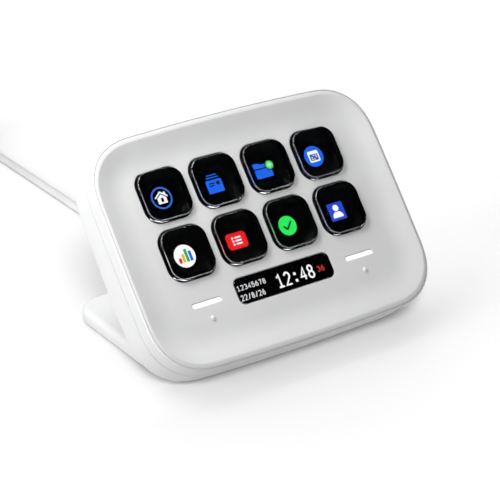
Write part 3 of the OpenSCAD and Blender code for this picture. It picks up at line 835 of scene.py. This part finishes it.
# Middle lines of plain numerals in a cell of 1 by 1
NUMERALS = {
    "1": [[(0.08, 0.78), (0.52, 1), (0.52, 0.05)], [(0.04, 0), (1, 0)]],
    "2": [[*arc(0.5, 0.72, 0.46, 0.28, 165, -25), (0, 0), (1, 0)]],
    "3": [arc(0.46, 0.76, 0.44, 0.24, 155, -90), arc(0.46, 0.27, 0.5, 0.27, 78, -155)],
    "4": [[(0.74, 0), (0.74, 1), (0, 0.28), (1.04, 0.28)]],
    "5": [[(0.92, 1), (0.14, 1), (0.1, 0.55), *arc(0.46, 0.33, 0.5, 0.33, 110, -155)]],
    "6": [arc(0.5, 0.31, 0.46, 0.31, 0, 360, 24), arc(0.86, 0.31, 0.82, 0.69, 95, 172)],
    "7": [[(0.02, 1), (0.98, 1), (0.36, 0)]],
    "8": [arc(0.5, 0.76, 0.4, 0.24, 0, 360, 24), arc(0.5, 0.26, 0.47, 0.26, 0, 360, 24)],
    "/": [[(0.12, -0.04), (0.88, 1.04)]],
    ":": [[(0.5, 0.03), (0.5, 0.25)], [(0.5, 0.59), (0.5, 0.81)]],
}


def pen_line(line, width, low):
    """Flat stroke along a line, LAYER high, with mitred corners."""
    closed = np.allclose(line[0], line[-1])
    points = np.array(line[:-1] if closed else line)
    n, rings, high = len(points), [], low + LAYER
    for i, p in enumerate(points):
        before = points[i - 1] if closed or i else 2 * p - points[1]
        after = points[(i + 1) % n] if closed or i < n - 1 else 2 * p - points[i - 1]
        a, b = unit(p - before), unit(after - p)
        t = unit(a + b)
        side = np.array([-t[1], t[0]]) * width / 2 / max(abs(float(a @ t)), 0.6)
        (x0, y0), (x1, y1) = p - side, p + side
        rings.append([(x0, y0, low), (x1, y1, low), (x1, y1, high), (x0, y0, high)])
    return loft(rings, closed=closed)


def numerals(name, text, box, colour, width):
    """Numbers in equal cells that fill box = (x0, x1, y0, y1), with strokes of that width."""
    x0, x1, y0, y1 = box
    cell = (x1 - x0) / len(text)
    w, h = 0.87 * cell - width, y1 - y0 - width
    shapes = []
    for i, char in enumerate(text):
        left, low_y = x0 + cell * (i + 0.5) - w / 2, y0 + width / 2
        for line in NUMERALS[char]:
            placed = [(left + x * w, low_y + y * h) for x, y in line]
            shapes.append(pen_line(placed, width * (1.5 if char == ":" else 1), STRIP_LOW))
    keep(mesh_object(name, *joined(*shapes), [PIXELS[colour]], FACE))


STRIP_LOW = -1.3
for name, text, box, colour, width in (
    ("clock", "12:48", (-3.1, 11.95, -29.1, -24.45), "white", 0.62),
    ("seconds", "36", (12.85, 15.95, -27.8, -25.8), "soft_red", 0.36),
    ("upper_row", "12345678", (-17.5, -6.4, -26.15, -24.35), "text", 0.32),
    ("date", "22/8/26", (-17.35, -7.95, -29.5, -27.5), "text", 0.34),
):
    numerals(name, text, box, colour, width)

lens_shape = plate(rect(STRIP_W, STRIP_H, STRIP_R), -BEZEL_T, 0, (0, STRIP_Y), edge=0.25)
lens = mesh_object("strip_cover", *lens_shape, [LENS], FACE)
keep(weigh(lens), ["strip_lens"])


def light_bar(side):
    """Milky bar in its slot: only its top shines."""
    x = side * BAR_X
    top = plate(rect(BAR_W - 0.1, BAR_H - 0.1, BAR_H / 2 - 0.06, 8), -1.4, -0.22, (x, BAR_Y - 0.04))
    foot = plate(rect(BAR_W + 1.6, BAR_H + 1.6, BAR_H / 2 + 0.6), -2.6, -1.35, (x, BAR_Y))
    shape = joined(top, foot)
    lit_face = len(top[1]) - 1
    return shape, [1 if i == lit_face else 0 for i in range(len(shape[1]))]


(left_bar, left_lit), (right_bar, right_lit) = (light_bar(side) for side in (-1, 1))
both_bars = joined(left_bar, right_bar)
bars = mesh_object("light_bars", *both_bars, [MILKY, BAR_GLOW], FACE, left_lit + right_lit)
keep(weigh(bars), ["light_guides"])


# ---------- CAD nodes that stay ----------

FINISHES = {
    "case_screws": STEEL,
    "foot_screws": STEEL,
    "board_screws": STEEL,
    "foot_weight": WEIGHT,
    "foot_pad": RUBBER,
    "key_guide": BLACK,
    "key_membrane": MEMBRANE,
    "lcd_panel": GLASS_BLACK,
    "lcd_backlight": BACKLIGHT,
    "lcd_tray": BLACK,
    "strip_display": GLASS_BLACK,
    "strip_board": BOARD,
    "touch_boards": BOARD,
    "main_board": BOARD,
    "board_parts": CHIP,
    "lcd_ribbon": RIBBON,
    "strip_ribbon": RIBBON,
    "cord_tie": TIE,
    "plug_shell": SHELL_METAL,
}
for node, finish in FINISHES.items():
    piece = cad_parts[node]
    piece.data.materials.clear()
    piece.data.materials.append(finish)


# ---------- lead ----------

# Run of the lead: out of the back, down to the desk, straight away, and the coil's start
ROUTE = [
    (0, 8, 15), (0, 15, 14.8), (0, 23, 13.6), (-0.1, 31, 11.4), (-0.4, 39, 8.7), (-0.8, 47, 5.8),
    (-1.1, 55, 3.4), (-1.3, 63, 2), *[(-1.4, y, 1.5) for y in range(71, 180, 9)],
    (-1.4, 188, 1.6), (-1.4, 196, 1.8), (-1.4, 203, 2),
]
TAIL_X = -39.8
TAIL = [
    (TAIL_X, y, z)
    for y, z in ((203, 11), (196, 10.2), (189, 8), (182, 5.4), (175, 3.6), (168, 3))
]
COIL_MID = (-20.6, 203)
COIL_LOW = 2
TURN_RADII = (19.2, 16.2, 13.2)
LAYERS_OF_TURNS = 4
STEPS = 32
BLEND = 6  # steps over which a turn passes to the next one


def coil_points():
    """Turns wound layer by layer, inwards and outwards in turn, then half a turn to the tail."""
    turns = []
    for layer in range(LAYERS_OF_TURNS):
        order = TURN_RADII if layer % 2 == 0 else TURN_RADII[::-1]
        turns += [(r, COIL_LOW + CORD_D * layer) for r in order]
    points = []
    for turn, (r, z) in enumerate(turns):
        next_r, next_z = turns[turn + 1] if turn + 1 < len(turns) else (r, z)
        for i in range(STEPS):
            s = max(0.0, (i - (STEPS - BLEND)) / BLEND)
            s = s * s * (3 - 2 * s)
            t = 2 * math.pi * i / STEPS
            rr, zz = r + (next_r - r) * s, z + (next_z - z) * s
            points.append((COIL_MID[0] + rr * math.cos(t), COIL_MID[1] + rr * math.sin(t), zz))
    r, z = turns[-1]
    for i in range(STEPS // 2):
        t = 2 * math.pi * i / STEPS
        points.append((COIL_MID[0] + r * math.cos(t), COIL_MID[1] + r * math.sin(t), z))
    return points


def make_cord():
    """The lead as one curve, and its length in metres."""
    points = ROUTE[:-1] + coil_points() + TAIL
    curve = bpy.data.curves.new("lead", "CURVE")
    curve.dimensions = "3D"
    curve.bevel_depth = CORD_D / 2 * MM
    curve.bevel_resolution = 5
    curve.resolution_u = 2
    curve.use_fill_caps = True
    spline = curve.splines.new("POLY")
    spline.points.add(len(points) - 1)
    for p, q in zip(spline.points, points):
        p.co = (*(MM * c for c in q), 1)
    spline.use_smooth = True
    curve.materials.append(CORD)
    lead = bpy.data.objects.new("lead", curve)
    bpy.context.scene.collection.objects.link(lead)
    length = MM * sum(math.dist(a, b) for a, b in zip(points, points[1:]))
    keep(lead, ["cord_tube", "cord_coil", "cord_tail"])
    return lead, length


# Strain relief: (radius, place along the lead)
RELIEF = (
    (0, 0), (3.2, 0), (3.2, 6.4), (3.35, 6.7), (3.7, 6.9), (3.7, 7.2), (3.55, 8.9), (3.4, 9),
    (2.7, 9.02), (2.6, 9.1), (2.6, 9.5), (2.7, 9.58), (3.2, 9.6), (3.3, 9.7), (3.15, 11.5),
    (3.05, 11.6), (2.5, 11.62), (2.4, 11.7), (2.4, 12.1), (2.5, 12.18), (2.85, 12.2), (2.9, 12.3),
    (2.75, 14.1), (2.65, 14.2), (2.3, 14.22), (2.2, 14.3), (2.2, 14.7), (2.3, 14.78), (2.45, 14.8),
    (2.5, 14.9), (2.15, 20.1), (2.05, 20.4), (1.9, 20.5), (0, 20.5),
)
# Plug's grip: (width, height, corner radius, place along the plug)
GRIP = (
    (5.2, 4.2, 2.0, 0), (5.4, 4.4, 2.1, 0.2), (5.8, 4.6, 2.2, 3), (7.6, 5.0, 2.35, 4.4),
    (9.4, 5.6, 2.5, 5.6), (10.1, 5.9, 2.6, 6.6), (10.4, 6, 2.6, 8), (10.4, 6, 2.6, 19.0),
    (10.2, 5.8, 2.5, 19.5), (9.4, 5.0, 2.2, 20),
)


def make_relief():
    relief = mesh_object("relief", *lathe(RELIEF), [PLUG], along_lead(-11.5))
    return keep(weigh(relief), ["strain_relief"])


def make_plug():
    where = Matrix.Translation(TAIL[-1]) @ Matrix.Rotation(math.pi / 2, 4, "X")
    rings = [flat(rect(w, h, r), z) for w, h, r, z in GRIP]
    grip = mesh_object("plug_grip", *loft(rings), [PLUG], where)
    return keep(weigh(grip), ["plug_body"])


lead, lead_length = make_cord()
relief = make_relief()
grip = make_plug()


# ---------- floor, light, colour ----------


def make_floor():
    finish = moulded(
        "floor", grey(0.50), grey(0.51), (0.75, 0.85), grain=900, grain_strength=0.05, patch=3
    )
    half, low = 4000, -0.05
    corners = [(-half, -half, low), (half, -half, low), (half, half, low), (-half, half, low)]
    floor = mesh_object("floor", corners, [(0, 1, 2, 3)], [finish])
    floor.visible_diffuse = False  # the bounce lights stand in for its light on the keypad
    return floor


def group(name, pieces, state):
    """Objects that a light reaches alone (INCLUDE), or passes by (EXCLUDE)."""
    made = bpy.data.collections.new(name)
    for piece in pieces:
        made.objects.link(piece)
    for entry in made.collection_objects:
        entry.light_linking.link_state = state
    return made


LOOKED_AT = Vector((0, 0, 0.035))  # middle of the keypad, in metres


def add_light(kind, name, turn, height, distance, strength, lit, blockers=None):
    """Light that looks at the keypad; turn and height in degrees, turn from +X towards +Y."""
    turn, height = math.radians(turn), math.radians(height)
    level = math.cos(height)
    out = Vector((math.cos(turn) * level, math.sin(turn) * level, math.sin(height)))
    data = bpy.data.lights.new(name, kind)
    data.energy = strength
    light = bpy.data.objects.new(name, data)
    light.location = LOOKED_AT + distance * out
    light.rotation_euler = (-out).to_track_quat("-Z", "Y").to_euler()
    light.light_linking.receiver_collection = lit
    light.light_linking.blocker_collection = blockers
    bpy.context.scene.collection.objects.link(light)
    return data


def softbox(name, turn, height, watts, lit):
    """Round soft light near the keypad."""
    data = add_light("AREA", name, turn, height, 0.3, watts, lit)
    data.shape = "DISK"
    data.size = 0.16


def wide(name, turn, height, spread, strength, lit, blockers=None):
    """Far soft light that fills a cone of spread degrees."""
    add_light("SUN", name, turn, height, 1, strength, lit, blockers).angle = math.radians(spread)


def make_world():
    """White backdrop that the camera sees and that lights nothing."""
    world = bpy.data.worlds.new("studio")
    bpy.context.scene.world = world
    for rays in ("diffuse", "glossy", "transmission", "scatter"):
        setattr(world.cycles_visibility, rays, False)
    world.use_nodes = True
    background = world.node_tree.nodes["Background"]
    background.inputs["Color"].default_value = (1, 1, 1, 1)
    background.inputs["Strength"].default_value = 1


floor = make_floor()
make_world()
on_keypad = group("all_but_floor", [floor], "EXCLUDE")
on_floor = group("floor_alone", [floor], "INCLUDE")
on_caps = group("caps_alone", CAPS, "INCLUDE")
on_shell = group("all_but_floor_and_caps", [floor, *CAPS], "EXCLUDE")
softbox("key_low", 185, 45, 0.503, on_keypad)
softbox("key_high", 150, 70, 0.629, on_keypad)
wide("side", 0, 38, 50, 0.524, on_keypad)
wide("back", 60, 38, 50, 0.564, on_keypad)
for name, turn, height, spread, strength in (
    ("floor_front_left", 240, 38, 20, 4.396),
    ("floor_front", 270, 38, 20, 0.213),
    ("floor_right", 300, 60, 50, 0.712),
    ("floor_left", 180, 12, 50, 3.577),
    ("floor_back_right", 60, 30, 50, 1.369),
    ("floor_back", 120, 30, 50, 1.257),
    ("floor_high", 120, 60, 50, 0.914),
):
    wide(name, turn, height, spread, strength, on_floor)
for name, turn, strength in (
    ("bounce_left", 180, 2.134),
    ("bounce_front", 265, 0.966),
    ("bounce_right", 310, 0.418),
):
    wide(name, turn, -12, 60, strength, on_shell, on_keypad)
wide("glint_low", 330, 5, 30, 0.8, on_caps)
wide("glint_right", 10, 15, 30, 0.5, on_caps)
wide("glint_high", 335, 62, 16, 0.4, on_caps)
bpy.context.scene.view_settings.view_transform = "Standard"
